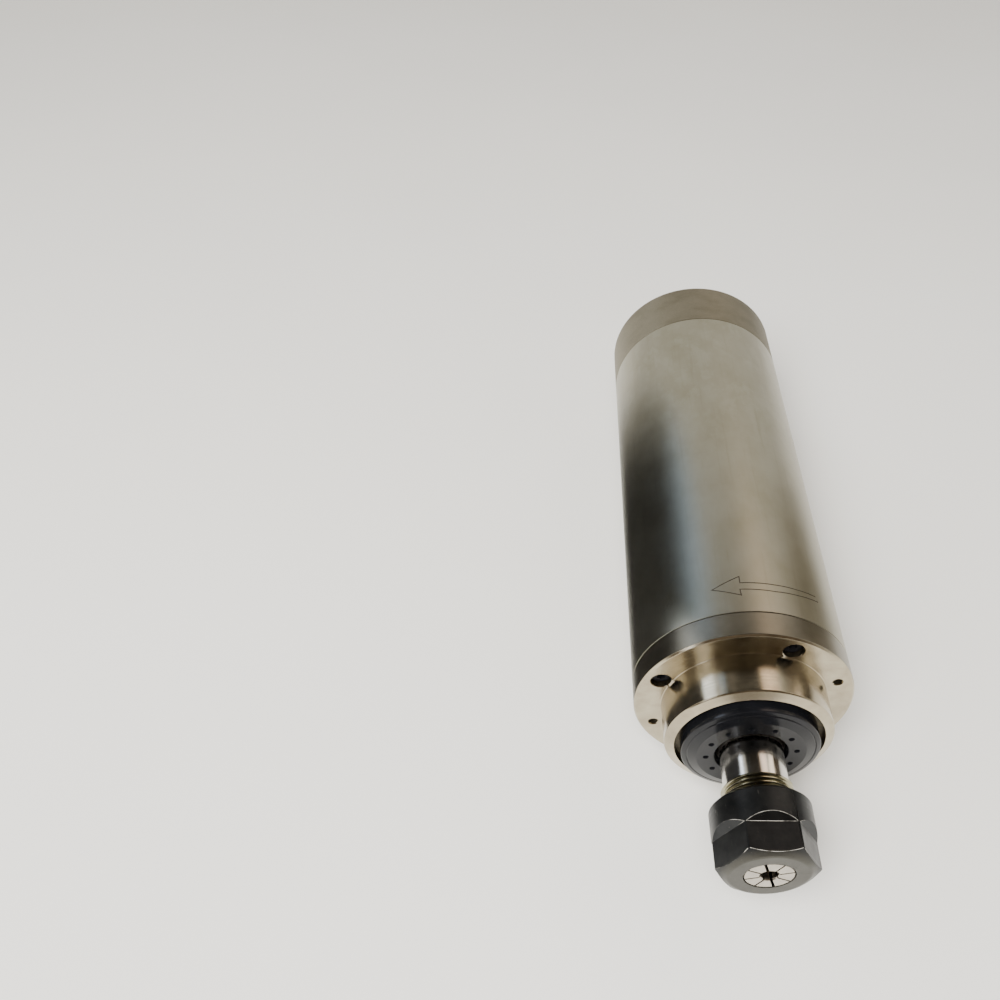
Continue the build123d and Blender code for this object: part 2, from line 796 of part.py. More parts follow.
pieces = {
    "body_sleeve": body_sleeve(),
    "water_jacket": water_jacket(),
    "jacket_seals": jacket_seals(),
    "front_flange": front_flange(),
    "flange_screws": flange_screws(),
    "bearing_cover": bearing_cover(),
    "front_bearing_outer_rings": outer_rings(*front_bearing),
    "front_bearing_inner_rings": inner_rings(*front_bearing),
    "front_bearing_balls": balls(*front_bearing, front_ball_count),
    "front_bearing_cages": cages(*front_bearing, front_ball_count),
    "stator_core": stator_core(),
    "stator_windings": stator_windings(),
    "rear_bearing_seat": rear_bearing_seat(),
    "preload_springs": preload_springs(),
    "rear_bearing_outer_rings": outer_rings(*rear_bearing),
    "rear_bearing_inner_rings": inner_rings(*rear_bearing),
    "rear_bearing_balls": balls(*rear_bearing, rear_ball_count),
    "rear_bearing_cages": cages(*rear_bearing, rear_ball_count),
    "rear_cap": rear_cap(),
    "cap_screws": cap_screws(),
    "socket_shell": socket_shell(),
    "socket_insert": socket_insert(),
    "socket_pins": socket_pins(),
    "socket_nut": socket_nut(),
    "water_nipple_in": water_nipple(-1),
    "water_nipple_out": water_nipple(1),
    "nipple_washers": nipple_washers(),
    "spindle_shaft": spindle_shaft(),
    "rotor_core": rotor_core(),
    "rotor_end_rings": rotor_end_rings(),
    "front_lock_ring": front_lock_ring(),
    "rear_lock_nut": rear_lock_nut(),
    "collet": collet(),
    "collet_nut": collet_nut(),
}

for name, shape in pieces.items():
    export_step(shape, f"parts/{name}.step")
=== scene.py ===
import math

import bmesh
import bpy
from mathutils import Matrix, Vector


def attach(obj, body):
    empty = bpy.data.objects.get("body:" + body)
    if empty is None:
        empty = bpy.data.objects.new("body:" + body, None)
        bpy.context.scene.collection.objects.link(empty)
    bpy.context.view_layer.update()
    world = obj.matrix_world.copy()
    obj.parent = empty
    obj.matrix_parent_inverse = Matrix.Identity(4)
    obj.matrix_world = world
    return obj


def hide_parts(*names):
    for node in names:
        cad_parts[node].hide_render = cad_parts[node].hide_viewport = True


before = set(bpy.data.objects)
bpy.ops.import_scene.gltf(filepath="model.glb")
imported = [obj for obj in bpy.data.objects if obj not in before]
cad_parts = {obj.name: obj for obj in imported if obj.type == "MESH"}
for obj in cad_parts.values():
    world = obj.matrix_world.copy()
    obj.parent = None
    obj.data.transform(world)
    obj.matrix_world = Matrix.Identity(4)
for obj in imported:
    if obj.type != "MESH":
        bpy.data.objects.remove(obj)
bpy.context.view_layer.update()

print("frame loaded:", len(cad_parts), "nodes")

mm = 0.001  # the frame is in metres, sizes here are in millimetres


def perMm(size):  # texture scale for a feature of that many millimetres
    return 1 / (size * mm)


# ---- shapes, all turned round the Y axis, stations are along it

quality = {"bodyColumns": 288, "smallColumns": 160, "boltColumns": 40, "cornerReach": 0.45,
           "straightBend": 0.05}
rounding = {"segments": 2, "fromDegrees": 24, "mergeWithin": 0.06, "dropUnder": 0.02, "normalWeight": 60}


def softened(outline, radius=0.25, steps=3):
    # rounds each corner of a closed half section, a third number on a point is its own radius
    result = []
    count = len(outline)
    for index in range(count):
        here = Vector(outline[index][:2])
        back = Vector(outline[index - 1][:2]) - here
        ahead = Vector(outline[(index + 1) % count][:2]) - here
        size = outline[index][2] if len(outline[index]) > 2 else radius
        bend = math.pi - back.angle(ahead)
        if size <= 0 or bend < quality["straightBend"] or here[1] < 0.01:
            result.append(tuple(here))
            continue
        longest = quality["cornerReach"] * min(back.length, ahead.length)
        reach = min(size * math.tan(bend / 2), longest)
        first = here + back.normalized() * reach
        last = here + ahead.normalized() * reach
        for step in range(steps + 1):
            t = step / steps
            point = first * (1 - t) ** 2 + here * 2 * t * (1 - t) + last * t ** 2
            result.append(tuple(point))
    return result


def addTurned(shape, outline, columns, centre=(0, 0)):
    # turns a closed half section of (station, radius) points into the mesh
    rings = []
    for station, radius in outline:
        if radius < 1e-6:
            ring = [shape.verts.new((centre[0] * mm, station * mm, centre[1] * mm))] * columns
        else:
            ring = []
            for column in range(columns):
                turn = 2 * math.pi * column / columns
                ring.append(shape.verts.new(((centre[0] + radius * math.sin(turn)) * mm, station * mm,
                                             (centre[1] + radius * math.cos(turn)) * mm)))
        rings.append(ring)
    for ring, after in zip(rings, rings[1:] + rings[:1]):
        for column in range(columns):
            following = (column + 1) % columns
            corners = list(dict.fromkeys([ring[column], ring[following], after[following], after[column]]))
            if len(corners) > 2:
                shape.faces.new(corners)


def meshPiece(name, shape, outward=True):
    if outward:
        bmesh.ops.recalc_face_normals(shape, faces=shape.faces)
    mesh = bpy.data.meshes.new(name)
    shape.to_mesh(mesh)
    shape.free()
    piece = bpy.data.objects.new(name, mesh)
    bpy.context.scene.collection.objects.link(piece)
    return piece


def turned(name, outline, columns, centres=((0, 0),)):
    shape = bmesh.new()
    for centre in centres:
        addTurned(shape, outline, columns, centre)
    return meshPiece(name, shape)


def extruded(name, rings):
    # straight bar between two equal rings of (x, y, z) corners
    shape = bmesh.new()
    first, last = [[shape.verts.new(tuple(c * mm for c in corner)) for corner in ring] for ring in rings]
    shape.faces.new(first)
    shape.faces.new(last)
    for index in range(len(first)):
        after = (index + 1) % len(first)
        shape.faces.new([first[index], first[after], last[after], last[index]])
    return meshPiece(name, shape)


def ringPlaces(radius, count, firstDegrees):
    # (x, z) centres round the axis, counted from straight up toward +X
    places = []
    for index in range(count):
        turn = math.radians(firstDegrees + 360 * index / count)
        places.append((radius * math.sin(turn), radius * math.cos(turn)))
    return places


def applyModifiers(piece):
    bpy.context.view_layer.update()
    evaluated = piece.evaluated_get(bpy.context.evaluated_depsgraph_get())
    made = bpy.data.meshes.new_from_object(evaluated)
    piece.modifiers.clear()
    old = piece.data
    piece.data = made
    made.name = piece.name
    bpy.data.meshes.remove(old)


def cutAway(piece, *cutters):
    for cutter in cutters:
        cut = piece.modifiers.new("cut", "BOOLEAN")
        cut.operation = "DIFFERENCE"
        cut.solver = "EXACT"
        cut.object = cutter
        applyModifiers(piece)
        bpy.data.objects.remove(cutter)


def finishShape(piece, edgeRadius=0, edgeMaterial=-1, sharpDegrees=32):
    # small edge rounding, then smooth shading that keeps the flats flat
    if edgeRadius:
        shape = bmesh.new()  # slivers left by the cuts would hold the rounding back
        shape.from_mesh(piece.data)
        bmesh.ops.remove_doubles(shape, verts=shape.verts, dist=rounding["mergeWithin"] * mm)
        bmesh.ops.dissolve_degenerate(shape, edges=shape.edges, dist=rounding["dropUnder"] * mm)
        shape.to_mesh(piece.data)
        shape.free()
        edge = piece.modifiers.new("edge", "BEVEL")
        edge.width = edgeRadius * mm
        edge.segments = rounding["segments"]
        edge.limit_method = "ANGLE"
        edge.angle_limit = math.radians(rounding["fromDegrees"])
        edge.use_clamp_overlap = False
        edge.material = edgeMaterial
        applyModifiers(piece)
    piece.data.shade_smooth()
    piece.data.set_sharp_from_angle(angle=math.radians(sharpDegrees))
    weighted = piece.modifiers.new("normals", "WEIGHTED_NORMAL")
    weighted.keep_sharp = True
    weighted.weight = rounding["normalWeight"]
    applyModifiers(piece)


# ---- materials

def linear(hexColour):
    channels = [int(hexColour[k:k + 2], 16) / 255 for k in (0, 2, 4)]
    return tuple(c / 12.92 if c <= 0.04045 else ((c + 0.055) / 1.055) ** 2.4 for c in channels) + (1.0,)


def addNode(tree, kind, sockets=None, stops=(), **settings):
    # one shader node: a socket takes a value or another node's output, stops are a ramp's own colours
    node = tree.nodes.new("ShaderNode" + kind)
    for name, value in settings.items():
        setattr(node, name, value)
    for name, value in (sockets or {}).items():
        if isinstance(value, bpy.types.Node):
            value = value.outputs[0]
        if isinstance(value, bpy.types.NodeSocket):
            tree.links.new(value, node.inputs[name])
        else:
            node.inputs[name].default_value = value
    for index, (position, colour) in enumerate(stops):
        if index == len(node.color_ramp.elements):
            node.color_ramp.elements.new(position)
        node.color_ramp.elements[index].position = position
        node.color_ramp.elements[index].color = linear(colour)
    return node


def startMaterial(name, constants):
    material = bpy.data.materials.new(name)
    material.use_nodes = True
    tree = material.node_tree
    tree.nodes.clear()
    shader = addNode(tree, "BsdfPrincipled", constants)
    addNode(tree, "OutputMaterial", {"Surface": shader})
    return material, tree, shader, addNode(tree, "TexCoord").outputs["Object"]


noiseRange = (0.3, 0.7)  # nearly all of a noise texture's values lie in between


def spreadFinish(name, look):
    # close tones in soft clouds, and tool lines or grain that ripple the gloss: sizes in millimetres
    constants = {"Metallic": look.get("metallic", 1.0), **look.get("set", {})}
    material, tree, shader, place = startMaterial(name, constants)
    lowest, highest = noiseRange
    fields = []
    for sides, detail in ((look["cloud"], 3.0), (look["line"], 0.5)):
        scale = tuple(perMm(side) for side in sides)
        scaled = addNode(tree, "Mapping", {"Vector": place, "Scale": scale})
        fields.append(addNode(tree, "TexNoise", {"Vector": scaled, "Scale": 1.0, "Detail": detail,
                                                 "Roughness": 0.6}))
    clouds, lines = fields
    low, high = look["rough"]
    stops = [(lowest + (highest - lowest) * k / (len(look["tones"]) - 1), tone)
             for k, tone in enumerate(look["tones"])]
    colour = addNode(tree, "ValToRGB", {"Fac": clouds}, stops)
    level = addNode(tree, "MapRange", {"Value": clouds, "From Min": lowest, "From Max": highest,
                                       "To Min": low, "To Max": high})
    swing = look.get("ripple", 0.025)
    ripple = addNode(tree, "MapRange", {"Value": lines, "From Min": lowest, "From Max": highest,
                                        "To Min": -swing, "To Max": swing})
    rough = addNode(tree, "Math", {0: level, 1: ripple}, operation="ADD")
    bump = addNode(tree, "Bump", {"Height": lines, "Distance": look["depth"] * mm, "Strength": 1.0})
    tree.links.new(colour.outputs[0], shader.inputs["Base Color"])
    tree.links.new(rough.outputs[0], shader.inputs["Roughness"])
    tree.links.new(bump.outputs[0], shader.inputs["Normal"])
    if "Anisotropic" in look.get("set", {}):
        tangent = addNode(tree, "Tangent", direction_type="RADIAL", axis="Y")
        tree.links.new(tangent.outputs[0], shader.inputs["Tangent"])
    for patch in look.get("patches", ()):
        layPatches(tree, shader, place, patch)
    return material


def layPatches(tree, shader, place, patch):
    # stains, grime or rubbed places over the finish, with a band they come in between its two stations
    scale = tuple(perMm(side) for side in patch["size"])
    scaled = addNode(tree, "Mapping", {"Vector": place, "Scale": scale})
    field = addNode(tree, "TexNoise", {"Vector": scaled, "Scale": 1.0, "Detail": 4.0, "Roughness": 0.65})
    first, full = patch["edge"]
    mask = addNode(tree, "MapRange", {"Value": field, "From Min": first, "From Max": full,
                                      "To Min": 0.0, "To Max": patch["strength"]})
    if "band" in patch:
        station = addNode(tree, "SeparateXYZ", {0: place}).outputs[1]
        first, full = patch["band"]
        reach = addNode(tree, "MapRange", {"Value": station, "From Min": first * mm, "From Max": full * mm},
                        interpolation_type="SMOOTHSTEP")
        mask = addNode(tree, "Math", {0: mask, 1: reach}, operation="MULTIPLY")
    below = shader.inputs["Base Color"].links[0].from_socket
    over = addNode(tree, "Mix", {0: mask, 6: below, 7: linear(patch["tone"])}, data_type="RGBA")
    tree.links.new(over.outputs[2], shader.inputs["Base Color"])
    below = shader.inputs["Roughness"].links[0].from_socket
    rougher = addNode(tree, "Math", {0: mask, 1: patch["rougher"], 2: below}, operation="MULTIPLY_ADD")
    tree.links.new(rougher.outputs[0], shader.inputs["Roughness"])


looks = {
    # stainless tube, centreless ground: satin, the lines round it spread the highlights (drawn coarser
    # than real, so that they show), cloudy scuffs from handling toward the rear
    "groundStainless": {"tones": ("9F9B89", "A6A292", "ABA899"), "cloud": (14, 20, 14),
                        "rough": (0.315, 0.36), "line": (600, 1.1, 600), "depth": 0.003, "ripple": 0.015,
                        "set": {"Anisotropic": 0.6},
                        "patches": [{"size": (7, 12, 7), "edge": (0.48, 0.66), "strength": 0.3,
                                     "band": (70, 140), "tone": "BDBDB0", "rougher": 0.05},
                                    {"size": (1.8, 45, 1.8), "edge": (0.56, 0.72), "strength": 0.22,
                                     "tone": "8D8876", "rougher": 0.03}]},
    # mark burnt into the steel by the laser: dull and brown-black, so it reads as a thin dark line
    "laserEtchedSteel": {"tones": ("2E2A24", "4A443A"), "metallic": 0.4, "cloud": (0.6, 0.6, 0.6),
                         "rough": (0.55, 0.7), "line": (0.3, 0.3, 0.3), "depth": 0.002},
    # bright nickel plate over turned steel: warm mirror, drawn out along the axis by the lathe rings
    "brightNickelPlate": {"tones": ("A09682", "AFA590", "BDB49E"), "cloud": (9, 9, 9),
                          "rough": (0.17, 0.22), "line": (600, 0.7, 600), "depth": 0.003,
                          "set": {"Anisotropic": 0.7, "Anisotropic Rotation": 0.25},
                          "patches": [{"size": (1.1, 1.1, 1.1), "edge": (0.66, 0.76), "strength": 0.4,
                                       "tone": "5F533C", "rougher": 0.02}]},
    # the same plate over a ground rim: satin and darker than the turned faces
    "satinNickelRim": {"tones": ("7C776A", "8C877A"), "cloud": (12, 12, 12), "rough": (0.32, 0.37),
                       "line": (600, 0.8, 600), "depth": 0.002},
    # drilled and tapped steel under oil, dark: painted shade for the insides of the holes and the gap round
    # the bearing cover, with a few glints from the thread
    "oiledHolePaintedShade": {"tones": ("2B2722", "57503F"), "metallic": 0.9, "cloud": (1.5, 1.5, 1.5),
                          "rough": (0.32, 0.45), "line": (600, 0.6, 600), "depth": 0.004},
    # bead-blasted steel cap: even warm grey with no clear reflections, faint handling smudges
    "beadBlastedSteel": {"tones": ("7B7563", "898372", "918B7A"), "metallic": 0.85, "cloud": (16, 11, 16),
                         "rough": (0.46, 0.56), "line": (0.6, 0.6, 0.6), "depth": 0.008,
                         "patches": [{"size": (0.5, 0.5, 0.5), "edge": (0.42, 0.66), "strength": 0.2,
                                      "tone": "5F5A4C", "rougher": 0.05}]},
    # hot black-oxided steel, turned and oiled: near black with a clear half gloss
    "blackOxideCover": {"tones": ("131417", "1B1C20"), "metallic": 0.35, "cloud": (7, 7, 7),
                        "rough": (0.13, 0.19), "line": (600, 0.8, 600), "depth": 0.003,
                        "set": {"Specular IOR Level": 0.36}},
    # the same film on the nut, milled and dry: dull, rubbed thin toward the face by the workpiece side
    "blackOxideNut": {"tones": ("2A2B2D", "373839"), "metallic": 0.9, "cloud": (5, 5, 5),
                      "rough": (0.34, 0.44), "line": (600, 0.9, 600), "depth": 0.004, "ripple": 0.04,
                      "patches": [{"size": (1.6, 1.6, 1.6), "edge": (-0.3, 0.45), "strength": 1.0,
                                   "band": (-61.8, -63.7), "tone": "4E4D48", "rougher": 0.0},
                                  {"size": (0.8, 6, 0.8), "edge": (0.66, 0.72), "strength": 0.5,
                                   "tone": "6A6864", "rougher": 0.0}]},
    # ground alloy steel: bright, narrow bands of reflection, brown grime specks where it enters the cover,
    # and a ring of painted shade just inside the cover's mouth
    "groundShaftSteel": {"tones": ("BDBAB4", "D2CFC9"), "cloud": (5, 8, 5), "rough": (0.13, 0.19),
                         "line": (600, 0.6, 600), "depth": 0.003,
                         "patches": [{"size": (1.4, 1.0, 1.4), "edge": (0.44, 0.6), "strength": 0.8,
                                      "band": (-23.4, -20.4), "tone": "3F3423", "rougher": 0.25},
                                     # painted shade: a solid dark ring on the shaft just inside the cover's
                                     # front face
                                     {"size": (40, 40, 40), "edge": (0.0, 0.1), "strength": 0.8,
                                      "band": (-20.8, -20.2), "tone": "2A241A", "rougher": 0.3}]},
    # cut thread with a film of oil in it: yellowish glints along the flanks, dark between them
    "oiledThreadSteel": {"tones": ("858065", "B3AE9A"), "cloud": (4, 6, 4), "rough": (0.17, 0.22),
                         "line": (600, 0.6, 600), "depth": 0.003},
    # hardened spring steel, ground face: paler and duller than the shaft
    "groundColletSteel": {"tones": ("B2ABA0", "C4BDB1"), "cloud": (4, 4, 4), "rough": (0.32, 0.38),
                          "line": (1.2, 600, 1.2), "depth": 0.003},
}


def wornEdgeAndTopHighlight():
    # black oxide rubbed off the edges by the spanner: broken thin lines of bare bright steel, with more of
    # it toward the top as a painted highlight
    material, tree, shader, place = startMaterial("wornEdgeAndTopHighlight", {"Metallic": 0.3, "Roughness": 0.55})
    patches = addNode(tree, "TexNoise", {"Vector": place, "Scale": perMm(3.5), "Detail": 4.0,
                                         "Roughness": 0.7})
    height = addNode(tree, "SeparateXYZ", {0: place}).outputs[2]
    paintedTopHighlight = addNode(tree, "MapRange", {"Value": height, "From Min": 11.5 * mm, "From Max": 14.5 * mm,
                                       "To Min": 0.0, "To Max": 0.22},
                    interpolation_type="SMOOTHSTEP")  # painted highlight: the edges get more bare bright steel toward the top, where the light falls
    wearAndTopHighlight = addNode(tree, "Math", {0: patches, 1: paintedTopHighlight}, operation="ADD")
    colour = addNode(tree, "ValToRGB", {"Fac": wearAndTopHighlight}, [(0.5, "2A2A2C"), (0.62, "6A6864"), (0.78, "C4C2BC")])
    tree.links.new(colour.outputs[0], shader.inputs["Base Color"])
    return material


finishes = {name: spreadFinish(name, look) for name, look in looks.items()}
finishes["wornEdgeAndTopHighlight"] = wornEdgeAndTopHighlight()
print("finishes made:", len(finishes))


def dress(piece, body, node, slot, *materials):
    # material, body and replaced CAD node of a new piece; the slot argument is not used
    for material in materials:
        piece.data.materials.append(material)
    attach(piece, body)
    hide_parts(node)


# ---- body sleeve with its engraved turning arrow

sleeve = {"start": 10.15, "end": 186.0, "radius": 40.0, "bore": 37.5, "edge": 0.25, "bands": (14.0, 30.0)}
arrow = {"lineWidth": 0.4, "depth": 0.12, "above": 0.3, "sharpest": 0.35, "stations": (12, 28),
         "stepDegrees": 2,
         "line": [(41.2, 21.8), (26.5, 20.4), (13.7, 19.7), (-4.5, 20.1), (-4.3, 17.4), (-18.6, 21.3),
                  (-4.0, 25.9), (-4.0, 23.0), (13.7, 22.8), (26.5, 23.0), (39.8, 23.8)]}


def arrowCutter():
    # thin ribbon along the arrow's outline, sunk a little into the sleeve
    line = []
    for (turn, station), (nextTurn, nextStation) in zip(arrow["line"], arrow["line"][1:]):
        pieces = max(1, int(abs(nextTurn - turn) / arrow["stepDegrees"]))
        line += [(turn + (nextTurn - turn) * k / pieces, station + (nextStation - station) * k / pieces)
                 for k in range(pieces)]
    line.append(arrow["line"][-1])
    arc = math.radians(1) * sleeve["radius"]  # millimetres per degree round the sleeve
    flat = [Vector((turn * arc, station)) for turn, station in line]
    half = arrow["lineWidth"] / 2
    shape = bmesh.new()
    rings = []
    for index, here in enumerate(flat):
        back = (here - flat[index - 1]).normalized() if index else (flat[1] - here).normalized()
        ahead = (flat[index + 1] - here).normalized() if index + 1 < len(flat) else back
        side = back + ahead
        side = Vector((-side[1], side[0])).normalized()
        reach = half / max(arrow["sharpest"], abs(side.dot(Vector((-back[1], back[0])))))
        ring = []
        low, high = -arrow["depth"], arrow["above"]
        for sign, height in ((-1, low), (1, low), (1, high), (-1, high)):
            point = here + side * sign * reach
            radius = sleeve["radius"] + height
            turn = point[0] / sleeve["radius"]
            ring.append(shape.verts.new((radius * math.sin(turn) * mm, point[1] * mm,
                                         radius * math.cos(turn) * mm)))
        rings.append(ring)
    for ring, after in zip(rings, rings[1:]):
        for k in range(4):
            shape.faces.new([ring[k], ring[(k + 1) % 4], after[(k + 1) % 4], after[k]])
    shape.faces.new(rings[0])
    shape.faces.new(rings[-1])
    return meshPiece("arrowCutter", shape)


def sleevePiece():
    stations = [(sleeve["start"], sleeve["bore"], 0), (sleeve["start"], sleeve["radius"], sleeve["edge"]),
                *((station, sleeve["radius"], 0) for station in sleeve["bands"]),
                (sleeve["end"], sleeve["radius"], sleeve["edge"]), (sleeve["end"], sleeve["bore"], 0)]
    piece = turned("bodySleeve", softened(stations), quality["bodyColumns"])
    piece.data.materials.append(finishes["groundStainless"])
    piece.data.materials.append(finishes["laserEtchedSteel"])
    cutAway(piece, arrowCutter())
    for face in piece.data.polygons:  # the floor and walls of the engraved line
        middle = face.center / mm
        across = math.hypot(middle[0], middle[2])
        low, high = arrow["stations"]
        if low < middle[1] < high and sleeve["bore"] + 0.5 < across < sleeve["radius"] - 0.03:
            face.material_index = 1
    finishShape(piece)
    return piece


dress(sleevePiece(), "housing", "body_sleeve", "stainless_body")
print("sleeve done")


# ---- front flange with the nose boss, bright nickel, turned from one piece

flange = {"radius": 40.0, "thickness": 10.0, "rim": 0.7, "bossRadius": 30.0, "bossLength": 16.6,
          "lipOuter": 29.6, "lipInner": 26.5, "lipBevel": 1.4, "coverSeat": 24.43, "grooveFloor": -13.6,
          "lipBand": 0.4, "bore": 24.0, "boreStart": -8.0, "rearBevel": 0.25,
          "screwCircle": 33.72, "screwAngle": 24.25, "recessRadius": 3.72, "recessDepth": 6.0,
          "recessFlare": 0.25, "jackCircle": 34.5, "jackAngle": 69.3, "jackRadius": 1.7, "jackDepth": 8.5,
          "jackFlare": 0.3, "jackPitch": 0.7, "threadDepth": 0.22,
          "holeStations": (0.3, 9.5), "holeReach": (29.9, 39.0), "gapStart": -16.3}


def flaredHole(start, depth, radius, flare):
    # hole cutter whose mouth opens a little, so the edge catches the light
    return [(start - 1, 0), (start - 1, radius + flare + 1), (start + flare, radius),
            (start + depth, radius), (start + depth, 0)]


def threadedHole(start, depth, radius, flare, pitch):
    outline = [(start - 1, 0), (start - 1, radius + flare + 1), (start + flare, radius)]
    station = start + flare
    while station + pitch < start + depth:
        outline += [(station + pitch / 2, radius + flange["threadDepth"]), (station + pitch, radius)]
        station += pitch
    return outline + [(station, 0)]


def flangePiece():
    nearRear = flange["thickness"] - flange["rearBevel"]
    bevelEnd = -flange["bossLength"] + flange["lipBevel"]
    piece = turned("frontFlange", softened([
        (-flange["bossLength"], flange["lipInner"], 0.15), (bevelEnd, flange["lipOuter"], 0.3),
        (bevelEnd + flange["lipBand"], flange["bossRadius"], 0.3), (0, flange["bossRadius"], 0.4),
        (0, flange["radius"] - flange["rim"], 0.25), (flange["rim"], flange["radius"], 0.35),
        (nearRear, flange["radius"], 0.12),
        (flange["thickness"], flange["radius"] - flange["rearBevel"], 0.1),
        (flange["thickness"], flange["bore"], 0),
        (flange["boreStart"], flange["bore"], 0), (flange["boreStart"], flange["coverSeat"], 0),
        (flange["grooveFloor"], flange["coverSeat"], 0), (flange["grooveFloor"], flange["lipInner"], 0.4)]),
        quality["bodyColumns"])
    recess = flaredHole(0, flange["recessDepth"], flange["recessRadius"], flange["recessFlare"])
    screws = turned("screwRecess", recess, quality["boltColumns"],
                    ringPlaces(flange["screwCircle"], 4, flange["screwAngle"]))
    tapped = threadedHole(0, flange["jackDepth"], flange["jackRadius"], flange["jackFlare"],
                          flange["jackPitch"])
    jacks = turned("jackHole", tapped, quality["boltColumns"],
                   ringPlaces(flange["jackCircle"], 2, flange["jackAngle"]))
    for name in ("brightNickelPlate", "satinNickelRim", "oiledHolePaintedShade"):
        piece.data.materials.append(finishes[name])
    cutAway(piece, screws, jacks)
    for face in piece.data.polygons:
        middle = face.center / mm
        across = math.hypot(middle[0], middle[2])
        if across > flange["radius"] - 0.05 and flange["rim"] < middle[1] < flange["thickness"] - 0.2:
            face.material_index = 1
            continue
        near, far = flange["holeStations"]
        inner, outer = flange["holeReach"]
        inHole = near < middle[1] < far and inner < across < outer
        inGap = middle[1] > flange["gapStart"] and across < flange["lipInner"] + 0.02
        if inHole or inGap:  # oily holes, and the gap round the bearing cover, both darkened as painted shade
            face.material_index = 2
    finishShape(piece)
    return piece


dress(flangePiece(), "housing", "front_flange", "nickel_plate")


# ---- bearing cover, black screwed ring with pin-spanner holes

cover = {"front": -21.0, "radius": 24.4, "bevelRadius": 19.2, "side": -19.5, "bore": 12.9, "back": -8.0,
         "holeCircle": 15.8, "holeRadius": 0.95, "holeDepth": 2.9, "holeCount": 12, "holeAngle": -6.2,
         "holeFlare": 0.12, "web": 4.0, "recess": 18.0,
         "groove": ((-0.62, 22.25, 0.08), (-0.3, 22.5, 0.08), (-0.46, 22.8, 0.15))}


def coverPiece():
    piece = turned("bearingCover", softened([
        (cover["front"], cover["bore"], 0.3), (cover["front"], cover["bevelRadius"], 0.5),
        *((cover["side"] + ahead, radius, corner) for ahead, radius, corner in cover["groove"]),
        (cover["side"], cover["radius"], 0.45), (cover["back"], cover["radius"], 0),
        (cover["back"], cover["recess"], 0), (cover["front"] + cover["web"], cover["recess"], 0),
        (cover["front"] + cover["web"], cover["bore"], 0)]), quality["bodyColumns"])
    hole = flaredHole(cover["front"], cover["holeDepth"], cover["holeRadius"], cover["holeFlare"])
    holes = turned("spannerHole", hole, quality["boltColumns"],
                   ringPlaces(cover["holeCircle"], cover["holeCount"], cover["holeAngle"]))
    cutAway(piece, holes)
    finishShape(piece)
    return piece


dress(coverPiece(), "housing", "bearing_cover", "black_oxide", finishes["blackOxideCover"])
print("flange and cover done")


# ---- shaft nose: collar, ground neck, collet thread

nose = {"front": -57.0, "threadEnd": -34.0, "pitch": 1.5, "crest": 12.3, "root": 11.45, "mouth": 9.65,
        "neck": 11.2, "neckEnd": -20.5, "collar": 12.2, "collarStart": -18.4, "chamfer": 0.9, "runOut": 0.9,
        "under": 0.02, "runOutSlope": 1.3, "mergeWithin": 0.002, "dropUnder": 0.001, "frontLand": 0.6,
        "hidden": ((-17.0, 12.2), (-17.0, 12.49), (199.0, 8.49), (199.0, 6.0), (-19.0, 6.0)),
        "columns": 160}


def threadRows():
    # one helix of the thread: (station, radius) rows for each column, ends run out into the core
    profile = [(0.0, nose["crest"]), (0.14, nose["crest"]), (0.5, nose["root"]), (0.62, nose["root"]),
               (0.98, nose["crest"] - nose["under"])]
    low = nose["front"] + nose["chamfer"]
    high = nose["threadEnd"]
    turns = int((high - low) / nose["pitch"]) + 3
    rows = []
    for turn in range(-1, turns):
        for part, radius in profile:
            row = []
            for column in range(nose["columns"] + 1):
                station = low + (turn + part + column / nose["columns"]) * nose["pitch"]
                held = min(max(station, low), high)
                limit = nose["root"] + (held - low) if held - low < nose["runOut"] else nose["crest"]
                if high - held < nose["runOut"]:
                    limit = min(limit, nose["neck"] + (high - held) * nose["runOutSlope"])
                row.append((held, max(min(radius, limit), nose["neck"])))
            rows.append(row)
    return rows, len(profile)


def threadPiece():
    shape = bmesh.new()
    rows, perTurn = threadRows()
    columns = nose["columns"]
    grid = []
    for row in rows:
        line = []
        for column in range(columns):
            turn = 2 * math.pi * column / columns
            station, radius = row[column]
            line.append(shape.verts.new((radius * math.sin(turn) * mm, station * mm,
                                         radius * math.cos(turn) * mm)))
        grid.append(line)
    for index in range(len(grid) - 1):
        for column in range(columns):
            if column + 1 < columns:
                corners = [grid[index][column], grid[index][column + 1],
                           grid[index + 1][column + 1], grid[index + 1][column]]
            elif index + 1 + perTurn < len(grid):
                corners = [grid[index][column], grid[index + perTurn][0],
                           grid[index + 1 + perTurn][0], grid[index + 1][column]]
            else:
                continue
            shape.faces.new(corners)
    bmesh.ops.remove_doubles(shape, verts=shape.verts, dist=nose["mergeWithin"] * mm)
    bmesh.ops.dissolve_degenerate(shape, edges=shape.edges, dist=nose["dropUnder"] * mm)
    return meshPiece("noseThread", shape)


def shaftPiece():
    piece = turned("spindleShaft", softened([
        (nose["front"], nose["mouth"], 0.15), (nose["front"], nose["root"] - nose["frontLand"], 0.2),
        (nose["front"] + nose["chamfer"], nose["root"] - nose["under"], 0),
        (nose["threadEnd"], nose["neck"] - nose["under"], 0), (nose["threadEnd"], nose["neck"], 0),
        (nose["neckEnd"], nose["neck"], 0.6), (nose["collarStart"], nose["collar"], 0.4),
        *((station, radius, 0) for station, radius in nose["hidden"])]), quality["smallColumns"])
    finishShape(piece)
    return piece


thread = threadPiece()
finishShape(thread, sharpDegrees=50)
dress(shaftPiece(), "rotor", "spindle_shaft", "ground_shaft_steel", finishes["groundShaftSteel"])
dress(thread, "rotor", "spindle_shaft", "ground_shaft_steel", finishes["oiledThreadSteel"])
print("shaft done")


# ---- collet nut, black, six milled flats with sloped run-outs

